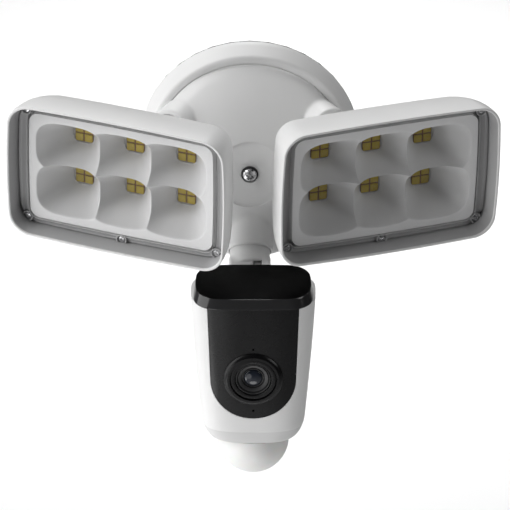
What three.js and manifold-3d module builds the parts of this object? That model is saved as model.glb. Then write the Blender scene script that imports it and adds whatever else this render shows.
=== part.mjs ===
// Wall floodlight with two tilting LED lamps and a hanging camera unit with a motion sensor.
// Units are millimetres and +Z is up. The wall is the plane Y = 0 and the light faces -Y.
// The origin is the centre of the mounting bracket's back face.

import * as THREE from 'three';
import { mergeVertices } from 'three/addons/utils/BufferGeometryUtils.js';
import Module from 'manifold-3d';

const wasm = await Module();
wasm.setup();

// ---------------------------------------------------------------- driving dimensions

const GAP = 0.3; // clearance between touching pieces

// Base: a round wall plate with a domed body on it.
const PLATE_BACK_RADIUS = 62.5;
const PLATE_FRONT_RADIUS = 57.5;
const PLATE_BACK_Y = -1.5;
const PLATE_FRONT_Y = -13;
const DOME_RADIUS = 53.5;
const DOME_EDGE_POWER = 7; // higher is a sharper edge
const DOME_BALL_RADIUS = 110.4; // the ball that shapes the front of the dome
const DOME_BALL_Y = 60.4;
const DOME_BALL_Z = -29.5;
const BASE_WALL = 2.8;
const POCKET_RADIUS = 56; // wiring space behind the rear cover
const POCKET_DEPTH = 9;
const DISH_RADIUS = 18.9;
const DISH_DEPTH = 2.3;
const DISH_BACKING = 2; // thickness of the floor behind the dish
const DISH_SLOPE = 15.5; // how far the dish faces upwards, in degrees
const SCREW_HOLE_RADIUS = 2.7;
const SCREW_HEAD_RADIUS = 3.9;
const SCREW_TUBE_RADIUS = 6.5;

// Lamp arms.
const POD_RADIUS = 12.5;
const POD_TURN = 32; // how far each pod points outwards, in degrees
const POD_X = 45.1;
const POD_Y = -30.8;
const POD_Z = 21.5;
const ARM_RADIUS = 8.5;
const ARM_REACH = 25.4; // pod face to tilt hinge
const LAMP_YAW = 20.8;
const LAMP_DROOP = 0.75;
const LAMP_ROLLS = { left: 1, right: 1.5 }; // the turn of each arm in its pod
const LUG_RADIUS = 8;
const LUG_HALF = 3.6;
const FORK_HALF = 8;
const FORK_SLOT_HALF = 4;
const BOLT_RADIUS = 2.4;

// Lamp head, with x to the right, y backwards from the rim and z up.
const LAMP_HALF_X = 64.6;
const LAMP_HALF_Z = 41.15;
const LAMP_CORNER = 13;
const LAMP_BOW = 0.8;
const LAMP_DEPTH = 37.5;
const LAMP_BACK_ROUND = 4; // the radius of the back edge
const LAMP_SHIFT_X = 2; // the lamp sits a little to the right of its arm
const HINGE_BEHIND_RIM = 51;
const RIM_WALL = 1.2;
const SHELL_WALL = 2.4;
const FRAME_FRONT = 11;
const FRAME_THICKNESS = 2;
const WINDOW_HALF_X = 56;
const WINDOW_HALF_Z = 34.5;
const WINDOW_CORNER = 6;
const WINDOW_FRONT = 7.6;
const REFLECTOR_FRONT = 8.9;
const REFLECTOR_BACK = 30.6;
const LED_PITCH_X = 30.85;
const LED_PITCH_Z = 26.6;
const LED_SIZE = 11;
const BOARD_FRONT = 31.6;
const FRAME_INSET = 2.9;
const FLANGE_THICKNESS = 1.2;
const LEDGE = FRAME_FRONT + FRAME_THICKNESS + FLANGE_THICKNESS + 2 * GAP;
const FRAME_SCREWS = [
  [-56.8, 34.1], [0, 37.4], [56.8, 34.1],
  [-56.8, -34.1], [0, -37.4], [56.8, -34.1],
];

// Camera arm and camera unit.
const COLLAR_RADIUS = 13.2;
const COLLAR_Y = -54;
const COLLAR_Z = -45;
const COLLAR_SLOPE = 40; // how far the collar points below the horizontal, in degrees
const CAMERA_ARM_RADIUS = 11.4;
const CAMERA_ARM_REACH = 15;
const CAMERA_DRUM_RADIUS = 10.5;
const CAMERA_SLOT_X = 4.3; // the slot is to the right of the middle
const CAMERA_SLOT_HALF = 2.5;
const CAMERA_LUG_HALF = 2.2;
const CAMERA_LUG_RADIUS = 8.6;
const CAMERA_X = 2;
const CAMERA_Y = -98.75;
const CAMERA_HALF_Y = 19.75;
const SHELL_TOP_Z = -44.9;
const SHELL_BOTTOM_Z = -133.5;
const VISOR_TOP_Z = -38.7;
const VISOR_Y = -100;
const VISOR_HALF_X = 32.1;
const VISOR_HALF_Y = 19.65;
const VISOR_FLARE_X = 2.7; // how much wider the visor's lower edge is, on each side
const VISOR_FLARE_Y = 1.6;
const CHIN_CREASE_Z = -126;
const LENS_Z = -91;
const PIN_HOLES = [19.1, -20.7]; // above and below the middle of the lens
const CAMERA_FRONT_Y = CAMERA_Y - CAMERA_HALF_Y;
const DOME_LENS_RADIUS = 20.3;
const DOME_LENS_Z = -140.6;
const PANEL_THICKNESS = 2.4;

// ---------------------------------------------------------------- materials

function finish(color, roughness, metalness = 0) {
  return new THREE.MeshStandardMaterial({ color, roughness, metalness, flatShading: true });
}

const whitePlastic = finish(0xe9e9e8, 0.45);
const blackGloss = finish(0x141416, 0.12);
const blackMatte = finish(0x1c1c1e, 0.5);
const clearPlastic = new THREE.MeshStandardMaterial({
  color: 0xf4f6f8, roughness: 0.06, transparent: true, opacity: 0.25, flatShading: true,
});
const reflectorWhite = finish(0xdededc, 0.35);
const ledYellow = finish(0xc9a63a, 0.4);
const boardGreen = finish(0x1f5a3a, 0.5);
const steel = finish(0xb8babd, 0.28, 1);
const rubber = finish(0x232325, 0.85);
const sensorWhite = finish(0xf1f0ec, 0.4);
const lensGlass = finish(0x26303c, 0.04);

// ---------------------------------------------------------------- solids

// A closed geometry as a solid with its faces pointing out.
function solid(geometry) {
  const bare = geometry.clone();
  bare.deleteAttribute('normal');
  bare.deleteAttribute('uv');
  const merged = mergeVertices(bare, 1e-4);
  const at = merged.attributes.position;
  const corners = [0, 1, 2].map(() => new THREE.Vector3());
  const faces = [];
  let volume = 0;
  for (let i = 0; i < merged.index.count; i += 3) {
    const [a, b, c] = [0, 1, 2].map((k) => merged.index.getX(i + k));
    if (a === b || b === c || c === a) continue;
    [a, b, c].forEach((vertex, k) => corners[k].fromBufferAttribute(at, vertex));
    volume += corners[0].dot(corners[1].cross(corners[2]));
    faces.push([a, b, c]);
  }
  const turned = volume < 0 ? faces.map(([a, b, c]) => [a, c, b]) : faces;
  return new wasm.Manifold(new wasm.Mesh({
    numProp: 3,
    vertProperties: new Float32Array(at.array),
    triVerts: new Uint32Array(turned.flat()),
  }));
}

function join(...pieces) {
  return pieces.reduce((whole, piece) => whole.add(piece));
}

function cut(body, ...pieces) {
  return pieces.reduce((rest, piece) => rest.subtract(piece), body);
}

function piece(name, shape, material) {
  const mesh = shape.getMesh();
  const geometry = new THREE.BufferGeometry();
  geometry.setAttribute('position', new THREE.BufferAttribute(mesh.vertProperties, 3));
  geometry.setIndex(new THREE.BufferAttribute(mesh.triVerts, 1));
  geometry.computeVertexNormals();
  const result = new THREE.Mesh(geometry, material);
  result.name = name;
  return result;
}

// Moves every corner of a geometry by a function of its place.
function warp(geometry, move) {
  const at = geometry.attributes.position;
  const corner = new THREE.Vector3();
  for (let i = 0; i < at.count; i += 1) {
    corner.fromBufferAttribute(at, i);
    move(corner);
    at.setXYZ(i, corner.x, corner.y, corner.z);
  }
  return geometry;
}

function block(x0, x1, y0, y1, z0, z1) {
  const geometry = new THREE.BoxGeometry(x1 - x0, y1 - y0, z1 - z0);
  return solid(geometry.translate((x0 + x1) / 2, (y0 + y1) / 2, (z0 + z1) / 2));
}

// A round rod along Y between two depths.
function rodY(radius, y0, y1, x = 0, z = 0, sides = 28) {
  const geometry = new THREE.CylinderGeometry(radius, radius, y1 - y0, sides);
  return solid(geometry.translate(x, (y0 + y1) / 2, z));
}

function rodX(radius, x0, x1, y = 0, z = 0, sides = 28) {
  const geometry = new THREE.CylinderGeometry(radius, radius, x1 - x0, sides);
  return solid(geometry.rotateZ(Math.PI / 2).translate((x0 + x1) / 2, y, z));
}

function rodZ(radius, z0, z1, x = 0, y = 0, sides = 28) {
  const geometry = new THREE.CylinderGeometry(radius, radius, z1 - z0, sides);
  return solid(geometry.rotateX(Math.PI / 2).translate(x, y, (z0 + z1) / 2));
}

// A turned piece about the Y axis, from a profile of [radius, y] points.
function turned(profile, sides = 32) {
  return solid(new THREE.LatheGeometry(profile.map(([r, y]) => new THREE.Vector2(r, y)), sides));
}

// An outline in x and z, extruded along y between two depths.
function slab(outline, y0, y1, steps = 1, move = null) {
  const shape = new THREE.Shape(outline);
  const geometry = new THREE.ExtrudeGeometry(shape, { depth: y1 - y0, steps, bevelEnabled: false });
  geometry.rotateX(Math.PI / 2).translate(0, y1, 0);
  return solid(move ? warp(geometry, move) : geometry);
}

// A rectangle with round corners and sides that bow outwards.
function bowedRectangle(halfX, halfZ, radius, bow = 0, arcSteps = 4, sideSteps = 1) {
  const points = [];
  const innerX = halfX - radius;
  const innerZ = halfZ - radius;
  const quarters = [[1, 1], [-1, 1], [-1, -1], [1, -1]];
  quarters.forEach(([signX, signZ], quarter) => {
    for (let i = 0; i <= arcSteps; i += 1) {
      const angle = (quarter + i / arcSteps) * Math.PI / 2;
      points.push(new THREE.Vector2(
        signX * innerX + radius * Math.cos(angle),
        signZ * innerZ + radius * Math.sin(angle),
      ));
    }
    for (let i = 1; i <= sideSteps; i += 1) {
      const along = 1 - (2 * i) / (sideSteps + 1);
      const out = bow * (1 - along * along);
      const onTop = quarter % 2 === 0;
      points.push(onTop
        ? new THREE.Vector2(signX * innerX * along, signZ * (halfZ + out))
        : new THREE.Vector2(signX * (halfX + out), signZ * innerZ * along));
    }
  });
  return points;
}

// A rounded square or oval whose power sets how square it is.
function superOval(halfX, halfZ, power, count) {
  return Array.from({ length: count }, (_, i) => {
    const angle = (i / count) * 2 * Math.PI;
    const c = Math.cos(angle);
    const s = Math.sin(angle);
    return new THREE.Vector2(
      halfX * Math.sign(c) * Math.abs(c) ** (2 / power),
      halfZ * Math.sign(s) * Math.abs(s) ** (2 / power),
    );
  });
}

// ---------------------------------------------------------------- base

// The front surface of the dome body, as a depth at each x and z, for a ball and edge set
// back by inset.
function domeDepth(x, z, inset) {
  const reach = (DOME_BALL_RADIUS - inset) ** 2 - x * x - (z - DOME_BALL_Z) ** 2;
  const height = PLATE_FRONT_Y - (DOME_BALL_Y - Math.sqrt(reach));
  const edge = Math.hypot(x, z) / (DOME_RADIUS - inset);
  const rounding = Math.max(0, 1 - edge ** DOME_EDGE_POWER) ** (1 / DOME_EDGE_POWER);
  return PLATE_FRONT_Y - Math.max(height, 0.5) * rounding;
}

function domeBody(inset, backY, sides, rings) {
  const ball = new THREE.SphereGeometry(1, sides, rings);
  return solid(warp(ball, (corner) => {
    const isFront = corner.y > -1e-6;
    const x = corner.x * (DOME_RADIUS - inset);
    const z = corner.z * (DOME_RADIUS - inset);
    corner.set(x, isFront ? domeDepth(x, z, inset) : backY, z);
  }));
}

// Places a solid made about the origin, facing -Y, on a side pod.
function atPod(shape, side) {
  return shape.rotate([0, 0, side * POD_TURN]).translate([side * POD_X, POD_Y, POD_Z]);
}

function atCollar(shape) {
  return shape.rotate([COLLAR_SLOPE, 0, 0]).translate([0, COLLAR_Y, COLLAR_Z]);
}

function baseHousing() {
  const plate = turned([
    [0, PLATE_BACK_Y], [PLATE_BACK_RADIUS, PLATE_BACK_Y], [PLATE_BACK_RADIUS, -3],
    [58.9, -11], [58.3, -12.3], [PLATE_FRONT_RADIUS, PLATE_FRONT_Y], [54.4, -13.3],
    [DOME_RADIUS + 0.2, -12.4], [0, -12.4],
  ], 36);
  const hollow = join(domeBody(BASE_WALL, 1, 20, 8), rodY(POCKET_RADIUS, -POCKET_DEPTH, 1, 0, 0, 36));
  const screwSeatY = domeDepth(0, 0, 0);
  const atDish = (shape) => shape.rotate([-DISH_SLOPE, 0, 0]).translate([0, screwSeatY, 0]);
  const dish = join(
    atDish(rodY(DISH_RADIUS, -6, DISH_DEPTH, 0, 0, 32)),
    rodY(SCREW_HEAD_RADIUS + 1.4, screwSeatY - 4, screwSeatY + DISH_DEPTH, 0, 0, 16),
  );
  const dishFloor = atDish(
    rodY(DISH_RADIUS + 1, DISH_DEPTH - 0.3, DISH_DEPTH + DISH_BACKING, 0, 0, 32),
  );
  const screwHole = rodY(SCREW_HOLE_RADIUS, screwSeatY - 6, 1, 0, 0, 12);
  const screwTube = cut(
    rodY(SCREW_TUBE_RADIUS, screwSeatY + DISH_DEPTH, -9.5, 0, 0, 16),
    screwHole,
  );
  const pods = [-1, 1].map((side) => atPod(rodY(POD_RADIUS, 0, 16, 0, 0, 24), side));
  const podBores = [-1, 1].map((side) => atPod(
    join(rodY(ARM_RADIUS + 2 * GAP, -2, 11, 0, 0, 20), rodY(4, 5, 22, 0, 0, 8)),
    side,
  ));
  const collar = atCollar(rodY(COLLAR_RADIUS, 0, 16, 0, 0, 24));
  const collarBore = atCollar(
    join(rodY(CAMERA_ARM_RADIUS + 2 * GAP, -2, 11, 0, 0, 20), rodY(5, 5, 22, 0, 0, 8)),
  );
  const shell = cut(join(plate, domeBody(0, -11, 28, 14)), hollow);
  const skin = cut(join(shell, dishFloor), dish);
  const whole = join(skin, ...pods, collar, screwTube);
  return cut(whole, ...podBores, collarBore, screwHole);
}

function wallGasket() {
  return turned([[56.8, -1.2], [62, -1.2], [62, 0], [56.8, 0], [56.8, -1.2]], 36);
}

function mountingBracket() {
  const bar = slab(bowedRectangle(52, 11, 10, 0, 5, 0), -2, 0);
  const hub = rodY(8, -5, -1.5);
  const slots = [-1, 1].map((side) => slab(bowedRectangle(7, 2.6, 2.5, 0, 4, 0), -3, 1)
    .translate([side * 36, 0, 0]));
  return cut(join(bar, hub), rodY(2.2, -6, -1.2, 0, 0, 16), ...slots);
}

const COVER_FRONT_Y = -POCKET_DEPTH + GAP;
const COVER_BACK_Y = COVER_FRONT_Y + 2;
const COVER_SCREW_RADIUS = 53.4;
const BOARD_POSTS = [[-24, -34], [24, -34], [-24, -12], [24, -12]];

function coverScrewPlace(index) {
  const angle = (0.25 + index * 0.5) * Math.PI;
  return [COVER_SCREW_RADIUS * Math.cos(angle), COVER_SCREW_RADIUS * Math.sin(angle)];
}

function rearCover() {
  const disc = rodY(POCKET_RADIUS - GAP, COVER_FRONT_Y, COVER_BACK_Y, 0, 0, 32);
  const posts = BOARD_POSTS.map(([x, z]) => rodY(2.2, COVER_FRONT_Y - 5, COVER_FRONT_Y + 1, x, z, 8));
  const holes = [0, 1, 2, 3].map((index) => {
    const [x, z] = coverScrewPlace(index);
    return rodY(1.5, COVER_FRONT_Y - 1, COVER_BACK_Y + 1, x, z, 8);
  });
  const screwHole = rodY(SCREW_TUBE_RADIUS + GAP, COVER_FRONT_Y - 1, COVER_BACK_Y + 1);
  const glandHole = rodY(6, COVER_FRONT_Y - 1, COVER_BACK_Y + 1, 0, 30, 20);
  return cut(join(disc, ...posts), screwHole, glandHole, ...holes);
}

function coverScrew(index) {
  const [x, z] = coverScrewPlace(index);
  const head = rodY(2.2, COVER_BACK_Y + GAP, COVER_BACK_Y + 1.8, x, z, 10);
  const shank = rodY(1.2, COVER_FRONT_Y + GAP, COVER_BACK_Y + 1, x, z, 8);
  return join(head, shank);
}

function cableGland() {
  return turned([
    [2.6, COVER_FRONT_Y - 2.5], [7.6, COVER_FRONT_Y - 2.5], [7.6, COVER_FRONT_Y - GAP],
    [5.7, COVER_FRONT_Y - GAP], [5.7, COVER_BACK_Y + GAP], [7.6, COVER_BACK_Y + GAP],
    [5, COVER_BACK_Y + 3.2], [2.6, COVER_BACK_Y + 3.2], [2.6, COVER_FRONT_Y - 2.5],
  ], 14).translate([0, 0, 30]);
}

const DRIVER_BACK_Y = COVER_FRONT_Y - 5 - GAP;
const DRIVER_FRONT_Y = DRIVER_BACK_Y - 1.6;

function driverBoard() {
  return block(-28, 28, DRIVER_FRONT_Y, DRIVER_BACK_Y, -38, -8);
}

function driverTransformer() {
  const face = DRIVER_FRONT_Y - GAP;
  return join(
    block(-20, 0, face - 15, face, -32, -14),
    block(-17, -3, face - 15.8, face - 1, -34, -12),
  );
}

function driverCapacitor() {
  return rodY(6, DRIVER_FRONT_Y - GAP - 17, DRIVER_FRONT_Y - GAP, 14, -22, 20);
}

const SCREW_FACE_Y = domeDepth(0, 0, 0) + DISH_DEPTH;

function screwSeal() {
  const back = SCREW_FACE_Y - GAP;
  const rim = SCREW_HEAD_RADIUS + 1;
  return turned([[2.8, back - 0.8], [rim, back - 0.8], [rim, back], [2.8, back], [2.8, back - 0.8]], 28);
}

function centerScrew() {
  const seat = SCREW_FACE_Y - GAP - 0.8 - GAP;
  const body = turned([
    [0, -2.5], [1.8, -2.5], [1.8, seat], [SCREW_HEAD_RADIUS, seat], [SCREW_HEAD_RADIUS, seat - 1],
    [3.3, seat - 2], [1.9, seat - 2.6], [0, seat - 2.8],
  ], 24);
  const recess = [0, 90].map((turn) => block(-2.1, 2.1, seat - 4, seat - 1.4, -0.5, 0.5)
    .rotate([0, turn, 0]));
  return cut(body, ...recess);
}

// ---------------------------------------------------------------- lamp arms

// Each arm is made with its pod axis on Y, its pod face at y = 0 and its hinge at -ARM_REACH.
function lampArm(bend) {
  const spindle = rodY(ARM_RADIUS, -3.5, 9.5, 0, 0, 20);
  const neck = rodY(7.2, -16, -3, 0, 0, 20);
  const knuckle = join(
    rodX(LUG_RADIUS, -FORK_HALF, FORK_HALF, 0, 0, 20),
    block(-FORK_HALF, FORK_HALF, 0, 12, -LUG_RADIUS * 0.9, LUG_RADIUS * 0.9),
  ).rotate([0, 0, bend]).translate([0, -ARM_REACH, 0]);
  const slot = join(
    rodX(LUG_RADIUS + 0.8, -FORK_SLOT_HALF, FORK_SLOT_HALF, 0, 0, 20),
    block(-FORK_SLOT_HALF, FORK_SLOT_HALF, -12, 0, -12, 12),
  ).rotate([0, 0, bend]).translate([0, -ARM_REACH, 0]);
  const boltHole = rodX(BOLT_RADIUS + GAP, -12, 12, 0, 0, 12)
    .rotate([0, 0, bend]).translate([0, -ARM_REACH, 0]);
  const wireWay = rodY(2.8, -ARM_REACH + 6, 12, 0, 0, 12);
  return cut(join(spindle, neck, knuckle), slot, boltHole, wireWay);
}

function hingeBolt(half) {
  return join(
    rodX(BOLT_RADIUS, -half - 2.8, half + 1, 0, 0, 12),
    rodX(4.3, half + GAP, half + 2.4, 0, 0, 16),
  );
}

function hingeNut(half) {
  return cut(
    rodX(4.4, -half - 2.6, -half - GAP, 0, 0, 6),
    rodX(BOLT_RADIUS + GAP, -half - 4, -half, 0, 0, 12),
  );
}

// ---------------------------------------------------------------- lamp heads

const LAMP_OUTLINE = bowedRectangle(LAMP_HALF_X, LAMP_HALF_Z, LAMP_CORNER, LAMP_BOW);

// How far the lamp's outside is drawn in at each depth: a slow curve, then a round back edge.
function lampInset(depth) {
  const slow = 0.0072 * depth * depth;
  const along = Math.max(0, 1 - (LAMP_DEPTH - depth) / LAMP_BACK_ROUND);
  return slow + LAMP_BACK_ROUND * (1 - Math.sqrt(1 - along * along));
}

// Draws an outline in by an amount that depends on the depth.
function drawnIn(insetAt) {
  return (corner) => {
    const inset = insetAt(corner.y);
    corner.x *= 1 - inset / LAMP_HALF_X;
    corner.z *= 1 - inset / LAMP_HALF_Z;
  };
}

function lampShell() {
  const body = slab(LAMP_OUTLINE, 0, LAMP_DEPTH, 9, drawnIn(lampInset));
  const hood = slab(LAMP_OUTLINE, -1, LEDGE, 1, drawnIn((y) => RIM_WALL + 0.1 * Math.max(y, 0)));
  const cavityBack = LAMP_DEPTH - SHELL_WALL;
  const cavity = slab(LAMP_OUTLINE, LEDGE - 1, cavityBack, 3, drawnIn(
    (y) => Math.max(5.2, lampInset(y * LAMP_DEPTH / cavityBack) + SHELL_WALL + 1),
  ));
  const posts = FRAME_SCREWS.map(([x, z]) => rodY(2.7, LEDGE, 24, x, z, 6));
  const hingeY = HINGE_BEHIND_RIM;
  const lug = join(
    rodX(LUG_RADIUS, -LUG_HALF, LUG_HALF, hingeY, 0, 20),
    block(-LUG_HALF, LUG_HALF, LAMP_DEPTH - 1.5, hingeY, -LUG_RADIUS, LUG_RADIUS),
    rodY(12, LAMP_DEPTH - 1.5, LAMP_DEPTH + 2.2, 0, 0, 24),
  ).translate([-LAMP_SHIFT_X, 0, 0]);
  const boltHole = rodX(BOLT_RADIUS + GAP, -12, 12, hingeY, 0, 16);
  const shell = join(cut(body, hood, cavity), ...posts.map((post) => post.intersect(body)));
  const pilots = FRAME_SCREWS.map(([x, z]) => rodY(1.3, LEDGE - 1, 21, x, z, 6));
  const wireHole = rodY(2.5, LAMP_DEPTH - 6, LAMP_DEPTH + 6, 12, 0, 12);
  return cut(join(shell, lug), boltHole, wireHole, ...pilots);
}

// A rectangle a little smaller or larger than the window.
function windowSlab(grow, corner, y0, y1) {
  return slab(bowedRectangle(WINDOW_HALF_X + grow, WINDOW_HALF_Z + grow, corner, 0.5, 3, 1), y0, y1);
}

function frameSlab(y0, y1) {
  return slab(LAMP_OUTLINE, y0, y1, 1, drawnIn(() => FRAME_INSET));
}

function lensFrame() {
  const back = FRAME_FRONT + FRAME_THICKNESS;
  const bosses = FRAME_SCREWS.map(([x, z]) => rodY(3.3, FRAME_FRONT - 1.1, back, x, z, 12));
  const holes = FRAME_SCREWS.map(([x, z]) => join(
    rodY(1.4, 0, back + 1, x, z, 6),
    rodY(2.2, 0, FRAME_FRONT - 0.1, x, z, 8),
  ));
  const ring = join(frameSlab(FRAME_FRONT, back), ...bosses).intersect(frameSlab(0, back));
  return cut(ring, windowSlab(GAP, WINDOW_CORNER + GAP, 0, back + 1), ...holes);
}

// The clear window: a tray whose flange is held behind the frame.
function lampWindow() {
  const back = LEDGE - GAP;
  const tray = windowSlab(0, WINDOW_CORNER, WINDOW_FRONT, back);
  const inside = windowSlab(-1, WINDOW_CORNER - 1, WINDOW_FRONT + 1, back + 1);
  const holes = FRAME_SCREWS.map(([x, z]) => rodY(1.4, 0, back + 1, x, z, 6));
  return cut(join(tray, frameSlab(back - FLANGE_THICKNESS, back)), inside, ...holes);
}

// The opening of one LED cup: a rounded square that narrows towards its LED.
function cup(column, row, grow, front, back) {
  const outline = superOval(1, 1, 3.2, 12);
  const span = REFLECTOR_BACK - REFLECTOR_FRONT;
  return slab(outline, front, back, 1, (corner) => {
    const along = (corner.y - REFLECTOR_FRONT) / span;
    corner.x = corner.x * (20 - 13.4 * along + grow) + column * LED_PITCH_X;
    corner.z = corner.z * (15.8 - 9.4 * along + grow) + row * LED_PITCH_Z;
  });
}

const CUPS = [-1, 0, 1].flatMap((column) => [-0.5, 0.5].map((row) => [column, row]));

function lampReflector() {
  const plate = windowSlab(-1.4, WINDOW_CORNER - 1.4, REFLECTOR_FRONT, REFLECTOR_FRONT + 1.5);
  const walls = CUPS.map(([column, row]) => cup(column, row, 1.4, REFLECTOR_FRONT, REFLECTOR_BACK));
  const holes = CUPS.map(([column, row]) => cup(column, row, 0, REFLECTOR_FRONT - 1, REFLECTOR_BACK + 1));
  return cut(join(plate, join(...walls).intersect(windowSlab(-1.4, WINDOW_CORNER - 1.4, 0, 40))), ...holes);
}

function ledBoard() {
  const board = block(-40, 40, BOARD_FRONT, BOARD_FRONT + 1.6, -20.5, 20.5);
  const chip = LED_SIZE / 2;
  const chips = CUPS.map(([column, row]) => {
    const x = column * LED_PITCH_X;
    const z = row * LED_PITCH_Z;
    return block(x - chip, x + chip, BOARD_FRONT - 0.8, BOARD_FRONT + 0.2, z - chip, z + chip);
  });
  return join(board, ...chips);
}

function frameScrew(index) {
  const [x, z] = FRAME_SCREWS[index];
  return join(
    rodY(1.8, FRAME_FRONT - 1.3, FRAME_FRONT - 0.4, x, z, 10),
    rodY(0.95, FRAME_FRONT - 1, 19, x, z, 6),
  );
}

// ---------------------------------------------------------------- camera unit

function cameraArm() {
  const spindle = rodY(CAMERA_ARM_RADIUS, -9, 9.5, 0, 0, 24);
  const drum = rodX(
    CAMERA_DRUM_RADIUS, -CAMERA_ARM_RADIUS, CAMERA_ARM_RADIUS, -CAMERA_ARM_REACH, 0, 24,
  );
  const slotLeft = CAMERA_SLOT_X - CAMERA_SLOT_HALF;
  const slotRight = CAMERA_SLOT_X + CAMERA_SLOT_HALF;
  const slot = join(
    rodX(CAMERA_DRUM_RADIUS + 0.7, slotLeft, slotRight, -CAMERA_ARM_REACH, 0, 24),
    block(slotLeft, slotRight, -40, -CAMERA_ARM_REACH, -14, 14),
  );
  const boltHole = rodX(BOLT_RADIUS + GAP, -16, 16, -CAMERA_ARM_REACH, 0, 12);
  const wireWay = rodY(3.5, -6, 12, 0, 0, 12);
  const wireTurn = rodX(2, 0, CAMERA_SLOT_X, -5, 0, 10);
  return cut(join(spindle, drum), slot, boltHole, wireWay, wireTurn);
}

// Half-width of the camera body at each height: a slow taper, then round lower corners.
function cameraHalfX(z) {
  const down = (SHELL_TOP_Z - z) / (SHELL_TOP_Z - SHELL_BOTTOM_Z);
  const taper = 35 - 6.6 * Math.max(down, 0) ** 1.25;
  const roundFrom = -122;
  const along = Math.max(0, (roundFrom - z) / (roundFrom - SHELL_BOTTOM_Z));
  return taper - 5.2 * (1 - Math.sqrt(Math.max(0, 1 - along * along)));
}

// Half-depth: straight down to the chin's crease, then slightly inwards.
function cameraHalfY(z) {
  const along = Math.max(0, (CHIN_CREASE_Z - z) / (CHIN_CREASE_Z - SHELL_BOTTOM_Z));
  return CAMERA_HALF_Y - 0.9 * along;
}

// A stretch of the camera body between two heights, drawn in by inset. Its sections are
// closer together towards the bottom, where the corners are round.
function cameraLoft(z0, z1, steps, inset = 0) {
  const shape = new THREE.Shape(superOval(1, 1, 3.4, 24));
  const geometry = new THREE.ExtrudeGeometry(shape, { depth: 1, steps, bevelEnabled: false });
  return solid(warp(geometry, (corner) => {
    corner.z = z0 + (z1 - z0) * corner.z ** 1.9;
    corner.x = CAMERA_X + corner.x * (cameraHalfX(corner.z) - inset);
    corner.y = CAMERA_Y + corner.y * (cameraHalfY(corner.z) - inset);
  }));
}

// The front panel's outline: straight sides that narrow a little, and a round lower end.
function panelOutline(grow) {
  const radius = 24 + grow;
  const points = [new THREE.Vector2(CAMERA_X + 26 + grow, SHELL_TOP_Z + 12)];
  const arcSteps = 12;
  for (let i = 0; i <= arcSteps; i += 1) {
    const angle = -(i / arcSteps) * Math.PI;
    points.push(new THREE.Vector2(
      CAMERA_X + radius * Math.cos(angle),
      LENS_Z - 1.7 + radius * Math.sin(angle),
    ));
  }
  points.push(new THREE.Vector2(CAMERA_X - 26 - grow, SHELL_TOP_Z + 12));
  return points;
}

// Everything above the seam between the visor and the body.
function aboveSeam(lift) {
  return block(-50, 50, -130, -70, SHELL_TOP_Z + lift, 0);
}

function cameraShell() {
  const outside = cameraLoft(SHELL_BOTTOM_Z, VISOR_TOP_Z + 1, 9);
  const inside = cameraLoft(-130, VISOR_TOP_Z + 2, 4, SHELL_WALL);
  const panelGap = slab(panelOutline(GAP), -140, CAMERA_Y - 6);
  const domeHole = rodZ(18.1, -140, -120, CAMERA_X, CAMERA_Y, 20);
  const slope = THREE.MathUtils.degToRad(COLLAR_SLOPE);
  const hingeY = COLLAR_Y - CAMERA_ARM_REACH * Math.cos(slope);
  const hingeZ = COLLAR_Z - CAMERA_ARM_REACH * Math.sin(slope);
  const lugLeft = CAMERA_SLOT_X - CAMERA_LUG_HALF;
  const lugRight = CAMERA_SLOT_X + CAMERA_LUG_HALF;
  const lug = join(
    rodX(CAMERA_LUG_RADIUS, lugLeft, lugRight, hingeY, hingeZ),
    block(
      lugLeft, lugRight, CAMERA_Y + CAMERA_HALF_Y - 1.5, hingeY,
      hingeZ - CAMERA_LUG_RADIUS, hingeZ + 5.5,
    ),
  );
  const boltHole = rodX(BOLT_RADIUS + GAP, -16, 16, hingeY, hingeZ, 16);
  const openTop = aboveSeam(0);
  const shell = cut(outside, inside, panelGap, domeHole, openTop);
  return cut(join(shell, lug), boltHole);
}

function frontPanel() {
  const skin = cut(
    cameraLoft(-128, SHELL_TOP_Z + 6, 6),
    cameraLoft(-129, SHELL_TOP_Z + 7, 6, PANEL_THICKNESS),
  );
  const plate = skin.intersect(slab(panelOutline(0), -140, CAMERA_Y - 6));
  const boss = turned([
    [0, 0], [16.4, 0], [16.4, -1.5], [14.8, -2.5], [0, -2.5],
  ], 24).translate([CAMERA_X, CAMERA_FRONT_Y + 1, LENS_Z]);
  const bore = rodY(13.2, CAMERA_FRONT_Y - 8, CAMERA_FRONT_Y + 12, CAMERA_X, LENS_Z, 24);
  const pinHoles = PIN_HOLES.map((z) => rodY(
    0.7, CAMERA_FRONT_Y - 8, CAMERA_FRONT_Y + 6, CAMERA_X, LENS_Z + z, 8,
  ));
  return cut(join(plate, boss), bore, ...pinHoles, aboveSeam(-GAP));
}

// A flat cap with an edge that flares outwards to the seam.
function visor() {
  const depth = VISOR_TOP_Z - SHELL_TOP_Z - GAP;
  const shape = new THREE.Shape(bowedRectangle(VISOR_HALF_X, VISOR_HALF_Y, 13.5, 0.4, 5, 1));
  const geometry = new THREE.ExtrudeGeometry(shape, { depth, bevelEnabled: false });
  return solid(warp(geometry.translate(0, 0, VISOR_TOP_Z - depth), (corner) => {
    const down = (VISOR_TOP_Z - corner.z) / depth;
    corner.x = CAMERA_X + corner.x * (1 + VISOR_FLARE_X / VISOR_HALF_X * down);
    corner.y = VISOR_Y + corner.y * (1 + VISOR_FLARE_Y / VISOR_HALF_Y * down);
  }));
}

function lensRing() {
  return turned([[10.2, 0], [12.9, 0], [12.9, -1.9], [12.6, -2.2], [10.2, -2.2], [10.2, 0]], 24)
    .translate([CAMERA_X, CAMERA_FRONT_Y + 1.4, LENS_Z]);
}

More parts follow.
